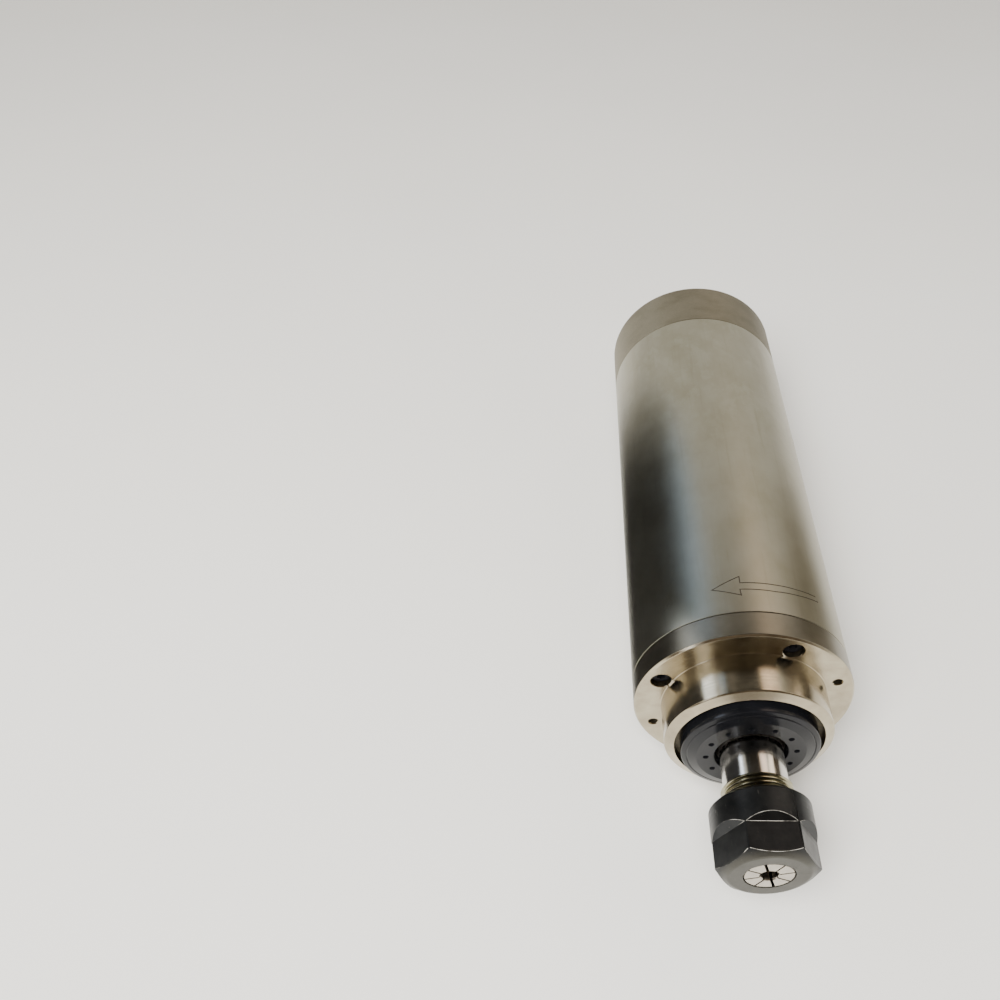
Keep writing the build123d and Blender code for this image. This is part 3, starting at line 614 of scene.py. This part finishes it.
nut = {"front": -63.9, "length": 23.1, "radius": 17.2, "rearRadius": 15.4, "rearCone": 1.6,
       "faceRadius": 13.2, "frontCone": 2.25, "mouth": 8.42,
       "bore": 12.5, "pocket": 11.2, "mouthDepth": 0.5, "lip": ((-58.2, 9.1), (-60.7, 9.1), (-60.7, 9.8)),
       "threadStart": -57.0, "pocketEnd": -58.2, "acrossFlats": 30.0, "flatLength": 10.9, "runOut": 2.4,
       "flatAngle": 2.0, "edge": 0.08, "wornBefore": -48, "wornOutside": 12,
       "cutterHalf": 14, "cutterTop": 22}


def flatCutters():
    # one milled flat and its run-out, turned to each of the six places
    low = nut["front"] - 1
    flat = nut["acrossFlats"] / 2
    flatEnd = nut["front"] + nut["flatLength"]
    runEnd = flatEnd + nut["runOut"]
    top = nut["cutterTop"]
    section = [(low, flat), (flatEnd, flat), (runEnd, nut["radius"]), (runEnd, top), (low, top)]
    cutters = []
    rings = [[(side, station, height) for station, height in section]
             for side in (-nut["cutterHalf"], nut["cutterHalf"])]
    for index in range(6):
        cutter = extruded("flatCutter", rings)
        cutter.data.transform(Matrix.Rotation(math.radians(nut["flatAngle"] + 60 * index), 4, "Y"))
        cutters.append(cutter)
    return cutters


def nutPiece():
    front = nut["front"]
    rear = front + nut["length"]
    piece = turned("colletNut", softened([
        (front + nut["mouthDepth"], nut["mouth"], 0), (front, nut["mouth"], 0.08),
        (front, nut["faceRadius"], 2.6),
        (front + nut["frontCone"], nut["radius"], 0.5), (rear - nut["rearCone"], nut["radius"], 0.5),
        (rear, nut["rearRadius"], 0.6), (rear, nut["bore"], 0.3), (nut["threadStart"], nut["bore"], 0),
        (nut["threadStart"], nut["pocket"], 0), (nut["pocketEnd"], nut["pocket"], 0),
        *((station, radius, 0) for station, radius in nut["lip"])], steps=5), quality["smallColumns"])
    cutAway(piece, *flatCutters())
    piece.data.materials.append(finishes["blackOxideNut"])
    piece.data.materials.append(finishes["wornEdgeAndTopHighlight"])
    finishShape(piece, edgeRadius=nut["edge"], edgeMaterial=1, sharpDegrees=40)
    for face in piece.data.polygons:  # the rims of the bore and the edges between the flats stay black
        corners = [piece.data.vertices[k].co for k in face.vertices]
        spans = [max(c[k] for c in corners) - min(c[k] for c in corners) for k in range(3)]
        middle = face.center / mm
        across = math.hypot(middle[0], middle[2])
        alongAxis = spans[1] > 0.8 * max(spans)
        if alongAxis or middle[1] > nut["wornBefore"] or across < nut["wornOutside"]:
            face.material_index = 0
    for vertex in piece.data.vertices:  # the rounding may not reach past the front face
        vertex.co.y = max(vertex.co.y, front * mm)
    return piece


dress(nutPiece(), "nut", "collet_nut", "black_oxide")
print("nut done")


# ---- collet, slit from both ends

collet = {"front": -63.8, "length": 31.5, "faceRadius": 8.0, "coneRadius": 9.75, "grooveRadius": 8.7,
          "groove": 2.6, "bigRadius": 10.5, "land": 0.7, "endRadius": 6.96, "bore": 3.0, "grip": 19.0,
          "relief": 3.6, "chamfer": 0.45, "faceAngle": 30, "slit": 0.6, "wideSlit": 0.95, "wideAt": 3,
          "rearSlit": 0.5, "bridge": 6.0, "slitAngle": 28.5, "slitHalf": 14}


def slitCutter(start, end, width, turnDegrees):
    half, tall = width / 2, collet["slitHalf"]
    corners = [(-half, -tall), (half, -tall), (half, tall), (-half, tall)]
    cutter = extruded("slitCutter", [[(x, station, z) for x, z in corners] for station in (start, end)])
    cutter.data.transform(Matrix.Rotation(math.radians(turnDegrees), 4, "Y"))
    return cutter


def colletPiece():
    front = collet["front"]
    rear = front + collet["length"]
    coneLength = (collet["coneRadius"] - collet["faceRadius"]) / math.tan(math.radians(collet["faceAngle"]))
    coneEnd = front + coneLength
    grooveEnd = coneEnd + collet["groove"]
    piece = turned("collet", softened([
        (front + collet["chamfer"], collet["bore"], 0.1), (front, collet["bore"] + collet["chamfer"], 0.1),
        (front, collet["faceRadius"], 0.3), (coneEnd, collet["coneRadius"], 0.15),
        (coneEnd, collet["grooveRadius"], 0.1), (grooveEnd, collet["grooveRadius"], 0.1),
        (grooveEnd, collet["bigRadius"], 0.15), (grooveEnd + collet["land"], collet["bigRadius"], 0.1),
        (rear, collet["endRadius"], 0.2), (rear, collet["relief"], 0.1),
        (front + collet["grip"], collet["relief"], 0), (front + collet["grip"], collet["bore"], 0)],
        steps=2), quality["smallColumns"])
    cutters = []
    for index in range(4):
        turn = collet["slitAngle"] + 45 * index
        width = collet["wideSlit"] if index == collet["wideAt"] else collet["slit"]
        cutters.append(slitCutter(front - 1, rear - collet["bridge"], width, turn))
        cutters.append(slitCutter(front + collet["bridge"], rear + 1, collet["rearSlit"], turn + 22.5))
    cutAway(piece, *cutters)
    finishShape(piece)
    return piece


dress(colletPiece(), "collet", "collet", "collet_steel", finishes["groundColletSteel"])
print("collet done")


# ---- rear cap with its screw recesses

cap = {"start": 186.15, "end": 213.0, "radius": 40.0, "edge": 1.2, "socketHole": 9.52, "screwCircle": 33.72,
       "screwAngle": 45.0, "recessRadius": 3.72, "recessDepth": 5.0, "recessFlare": 0.25, "bore": 36.5,
       "floor": 8.0, "nippleOffset": 22.0, "nippleHole": 4.0, "nippleDepth": 6.5, "nippleFlare": 0.1}


def rearOf(outline):
    # mirrors a cutter made for a front face onto the rear face of the cap
    return [(cap["end"] - station, radius) for station, radius in outline]


def capPiece():
    inner = cap["end"] - cap["floor"]
    piece = turned("rearCap", softened([
        (cap["start"], cap["bore"], 0), (cap["start"], cap["radius"], 0.35),
        (cap["end"], cap["radius"], cap["edge"]), (cap["end"], cap["socketHole"], 0.2),
        (inner, cap["socketHole"], 0), (inner, cap["bore"], 0)], steps=5), quality["bodyColumns"])
    recess = rearOf(flaredHole(0, cap["recessDepth"], cap["recessRadius"], cap["recessFlare"]))
    recesses = turned("capRecess", recess, quality["boltColumns"],
                      ringPlaces(cap["screwCircle"], 4, cap["screwAngle"]))
    port = rearOf(flaredHole(0, cap["nippleDepth"], cap["nippleHole"], cap["nippleFlare"]))
    ports = turned("nippleHole", port, quality["boltColumns"],
                   [(-cap["nippleOffset"], 0), (cap["nippleOffset"], 0)])
    cutAway(piece, recesses, ports)
    finishShape(piece)
    return piece


dress(capPiece(), "housing", "rear_cap", "grey_cap_steel", finishes["beadBlastedSteel"])
print("cap done")


# ---- finishes of the pieces that keep their solid shape

ringed, axial = (600, 1, 600), (1, 20, 1)  # how the grain is drawn out: round the axis, or along it
carried = {
    # finish: (metallic, tones, roughness, grain size, grain direction, depth, nodes)
    "turnedAluminium": (1.0, ("B4B6B8", "C6C8CA"), (0.26, 0.36), 0.6, ringed, 0.006, ["water_jacket"]),
    "castAluminium": (1.0, ("A4A6A8", "B9BBBD"), (0.42, 0.55), 1.2, (1, 1, 1), 0.02, ["rear_bearing_seat"]),
    "mouldedNitrileRubber": (0.0, ("151515", "212121"), (0.55, 0.7), 0.8, (1, 1, 1), 0.01,
                             ["jacket_seals"]),
    "blackOxideScrew": (0.7, ("1D1D20", "303034"), (0.3, 0.42), 0.7, (1, 1, 1), 0.006,
                        ["flange_screws", "cap_screws"]),
    "stackedSiliconSteel": (0.9, ("4E5257", "73787D"), (0.4, 0.5), 0.6, ringed, 0.02,
                            ["stator_core", "rotor_core"]),
    "enamelledCopperWire": (0.6, ("7A3C1C", "B5683A"), (0.3, 0.42), 0.8, axial, 0.12, ["stator_windings"]),
    "dieCastAluminium": (1.0, ("AEB0B2", "C4C6C8"), (0.38, 0.5), 1.5, (1, 1, 1), 0.02, ["rotor_end_rings"]),
    "blueSpringSteel": (1.0, ("5C6470", "7C8490"), (0.25, 0.35), 1.0, (1, 1, 1), 0.004,
                        ["preload_springs"]),
    "mouldedPhenolic": (0.0, ("1B1A19", "262523"), (0.32, 0.42), 0.6, (1, 1, 1), 0.006, ["socket_insert"]),
    "silverPlatedPin": (1.0, ("CFCAC0", "E4E0D6"), (0.16, 0.26), 0.6, (1, 1, 1), 0.002, ["socket_pins"]),
    "platedSteelNut": (1.0, ("B9B6AC", "CBC8BE"), (0.31, 0.36), 0.6, (1, 1, 1), 0.004, ["socket_nut"]),
    "annealedCopper": (1.0, ("A65F3C", "C07A52"), (0.28, 0.4), 0.9, (1, 1, 1), 0.006, ["nipple_washers"]),
    "turnedLockSteel": (1.0, ("7D7D7B", "969694"), (0.28, 0.38), 0.6, ringed, 0.004,
                        ["front_lock_ring", "rear_lock_nut"]),
    "nickelSocketBrass": (1.0, ("C3BCAD", "D6D0C2"), (0.14, 0.22), 0.6, ringed, 0.003, ["socket_shell"]),
    "turnedBrass": (1.0, ("B08A46", "C79F58"), (0.17, 0.23), 0.6, ringed, 0.004,
                    ["water_nipple_in", "water_nipple_out"]),
    "groundBearingSteel": (1.0, ("B9B9B7", "D0D0CE"), (0.1, 0.18), 0.6, ringed, 0.002,
                           [f"{end}_bearing_{side}_rings" for end in ("front", "rear")
                            for side in ("outer", "inner")]),
    "lappedBallSteel": (1.0, ("C8C8C6", "DADAD8"), (0.04, 0.08), 1.0, (1, 1, 1), 0.0005,
                        ["front_bearing_balls", "rear_bearing_balls"]),
    "mouldedCageResin": (0.0, ("6B4324", "80522E"), (0.4, 0.5), 0.6, (1, 1, 1), 0.01,
                         ["front_bearing_cages", "rear_bearing_cages"]),
}
for name, (metallic, tones, rough, grain, drawn, depth, nodes) in carried.items():
    line = tuple(grain * side for side in drawn)
    finish = spreadFinish(name, {"tones": tones, "metallic": metallic, "cloud": (4, 4, 4), "rough": rough,
                                 "line": line, "depth": depth, "ripple": 0.01})
    for node in nodes:
        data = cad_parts[node].data
        if not data.materials:
            data.materials.append(finish)
        for index in range(len(data.materials)):
            data.materials[index] = finish
print("carried pieces finished:", sum(len(recipe[-1]) for recipe in carried.values()))


# ---- floor, camera and soft light

studio = {"floor": -40.0, "floorSize": 6000.0, "slatStep": 8, "wall": 0.92, "wallTone": "FFFBF0",
          "plainTone": "EDEBE6"}


def floorPiece():
    half = studio["floorSize"] / 2 * mm
    shape = bmesh.new()
    corners = [shape.verts.new((x, y, studio["floor"] * mm)) for x, y in
               ((-half, -half), (half, -half), (half, half), (-half, half))]
    shape.faces.new(corners)
    piece = meshPiece("studioFloor", shape)
    piece.data.materials.append(spreadFinish("paintedFloor", {
        "tones": ("F4F4F2", "F8F8F6"), "metallic": 0.0, "cloud": (300, 300, 300), "rough": (0.78, 0.84),
        "line": (2, 2, 2), "depth": 0.002}))


floorPiece()

# studio flags that only the object's gloss sees, each a row of slats across the axis with one seen side:
# dark ones give the metal its black left side, a pale blue top the strip beside it, low ones dim the right
# side and the lip, and the two that glow stand in for windows
flags = [
    {"name": "leftFront", "x": (-80, -60), "from": -34, "to": 0, "low": -30, "high": 66, "tone": "141518"},
    {"name": "leftNear", "x": (-74, -54), "from": 5, "to": 53, "low": -40, "high": 44, "tone": "141518"},
    {"name": "leftFar", "x": (-74, -54), "from": 53, "to": 206, "low": -40, "high": 106, "tone": "141518",
     "top": "9DB4D6", "topFrom": 50, "topTo": 84, "fade": (108, 206)},
    {"name": "right", "x": (74, 94), "from": 40, "to": 152, "low": 8, "high": 60, "tone": "6E695E",
     "fade": (60, 150)},
    {"name": "rightFront", "x": (70, 90), "from": 6, "to": 25, "low": 46, "high": 84, "tone": "F4E6D4",
     "glow": 1.0},
    {"name": "frontWindow", "x": (-400, -640), "from": -470, "to": -469, "low": 190, "high": 480,
     "tone": "F2F6FF", "glow": 3.2},
    {"name": "front", "x": (320, -320), "from": -380, "to": -379, "low": -40, "high": 40, "tone": "4A3E34"},
]


def flagFelt(flag):
    # dyed felt on a card: no gloss, seen from one side, thinning out to nothing where it fades
    tone = linear(flag["tone"])
    constants = {"Base Color": tone, "Roughness": 0.95, "Emission Color": tone,
                 "Emission Strength": flag.get("glow", 0.0)}
    material, tree, shader, place = startMaterial("dyedFelt_" + flag["name"], constants)
    axes = addNode(tree, "SeparateXYZ", {0: place}).outputs
    clearness = addNode(tree, "NewGeometry").outputs["Backfacing"]
    if "top" in flag:
        rise = addNode(tree, "MapRange", {"Value": axes[2], "From Min": flag["topFrom"] * mm,
                                          "From Max": flag["topTo"] * mm}, interpolation_type="SMOOTHSTEP")
        top = addNode(tree, "Mix", {0: rise, 6: tone, 7: linear(flag["top"])}, data_type="RGBA")
        tree.links.new(top.outputs[2], shader.inputs["Base Color"])
    if "fade" in flag:
        fade = addNode(tree, "MapRange", {"Value": axes[1], "From Min": flag["fade"][0] * mm,
                                          "From Max": flag["fade"][1] * mm})
        clearness = addNode(tree, "Math", {0: clearness, 1: fade}, operation="MAXIMUM")
    clear = addNode(tree, "BsdfTransparent")
    card = addNode(tree, "MixShader", {0: clearness, 1: shader, 2: clear})
    output = next(node for node in tree.nodes if node.type == "OUTPUT_MATERIAL")
    tree.links.new(card.outputs[0], output.inputs["Surface"])
    return material


for flag in flags:
    shape = bmesh.new()
    near, far = flag["x"]
    corners = [(near, flag["low"]), (far, flag["low"]), (far, flag["high"]), (near, flag["high"])]
    for station in range(flag["from"], flag["to"], studio["slatStep"]):
        shape.faces.new([shape.verts.new((x * mm, station * mm, z * mm)) for x, z in corners])
    piece = meshPiece("studioFlag_" + flag["name"], shape, outward=False)
    piece.data.materials.append(flagFelt(flag))
    piece.visible_camera = False
    piece.visible_diffuse = False
    piece.visible_shadow = False
    piece.visible_transmission = False
print("studio flags set:", len(flags))

camera = bpy.data.cameras.new("camera")
camera.lens = 34.89
camera.sensor_width = 36.0
camera.shift_x = -0.0814
camera.shift_y = -0.0342
camera.clip_start = 0.01
cameraObject = bpy.data.objects.new("camera", camera)
cameraObject.location = (-60.7 * mm, -198.6 * mm, 304.2 * mm)
cameraObject.rotation_euler = (math.radians(46.92), 0, math.radians(-0.48))
bpy.context.scene.collection.objects.link(cameraObject)
bpy.context.scene.camera = cameraObject


def softLight(name, place, target, size, power, colour):
    # the gloss sees the room and not the lamp
    light = bpy.data.lights.new(name, "AREA")
    light.shape = "RECTANGLE"
    light.size, light.size_y = size[0] * mm, size[1] * mm
    light.energy = power
    light.color = linear(colour)[:3]
    lamp = bpy.data.objects.new(name, light)
    lamp.location = Vector(place) * mm
    lamp.rotation_euler = (Vector(target) - Vector(place)).to_track_quat("-Z", "Y").to_euler()
    lamp.visible_glossy = False
    bpy.context.scene.collection.objects.link(lamp)


softLight("overhead", (-420, -760, 1240), (0, 50, 0), (900, 900), 58, "FFFCF6")


# soft boxes and dark corners of the room: azimuth counted from +Y to -X, elevation, half width, half
# height and soft border in degrees, then tone and brightness
roomPatches = {
    "ceiling": (0, 95, 400, 46, 6, "6E6558", 0.22),
    "leftUpper": (38, 52, 8, 7, 4, "5E5A52", 0.3),
    "rightDim": (-64, 12, 15, 26, 6, "8C7C68", 0.4),
    "behind": (180, 20, 60, 26, 12, "8C7A66", 0.6),
    "leftWindow": (52, 28, 5, 9, 3, "E2EEFF", 5.0),
    "rightWindow": (-38, 49, 14, 8, 4, "FFE6D0", 2.6),
}


def studioWorld():
    world = bpy.data.worlds.new("studio")
    world.use_nodes = True
    tree = world.node_tree
    tree.nodes.clear()
    axes = addNode(tree, "SeparateXYZ", {0: addNode(tree, "TexCoord").outputs["Generated"]}).outputs
    toLeft = addNode(tree, "Math", {0: axes[0], 1: -1.0}, operation="MULTIPLY")
    turn = addNode(tree, "Math", {0: toLeft, 1: axes[1]}, operation="ARCTAN2")
    azimuth = addNode(tree, "Math", {0: turn}, operation="DEGREES")
    rise = addNode(tree, "Math", {0: axes[2]}, operation="ARCSINE")
    elevation = addNode(tree, "Math", {0: rise}, operation="DEGREES")
    room = tuple(studio["wall"] * c for c in linear(studio["wallTone"])[:3]) + (1.0,)
    for toSide, up, wide, high, soft, tone, bright in roomPatches.values():
        aside = addNode(tree, "Math", {0: azimuth, 1: float(toSide)}, operation="SUBTRACT")
        aside = addNode(tree, "Math", {0: aside, 1: 180.0, 2: -180.0}, operation="WRAP")
        above = addNode(tree, "Math", {0: elevation, 1: float(up)}, operation="SUBTRACT")
        factors = []
        for offset, half in ((aside, wide), (above, high)):
            away = addNode(tree, "Math", {0: offset}, operation="ABSOLUTE")
            factors.append(addNode(tree, "MapRange", {"Value": away, "From Min": half - soft,
                                                      "From Max": half + soft, "To Min": 1.0, "To Max": 0.0},
                                   interpolation_type="SMOOTHSTEP"))
        inside = addNode(tree, "Math", {0: factors[0], 1: factors[1]}, operation="MULTIPLY")
        tone = tuple(bright * c for c in linear(tone)[:3]) + (1.0,)
        room = addNode(tree, "Mix", {0: inside, 6: room, 7: tone}, data_type="RGBA").outputs[2]
    seen = addNode(tree, "LightPath").outputs["Is Camera Ray"]  # behind the object the room is plain
    room = addNode(tree, "Mix", {0: seen, 6: room, 7: linear(studio["plainTone"])},
                   data_type="RGBA").outputs[2]
    background = addNode(tree, "Background", {"Color": room, "Strength": 1.0})
    addNode(tree, "OutputWorld", {"Surface": background})
    bpy.context.scene.world = world


studioWorld()
print("studio done")
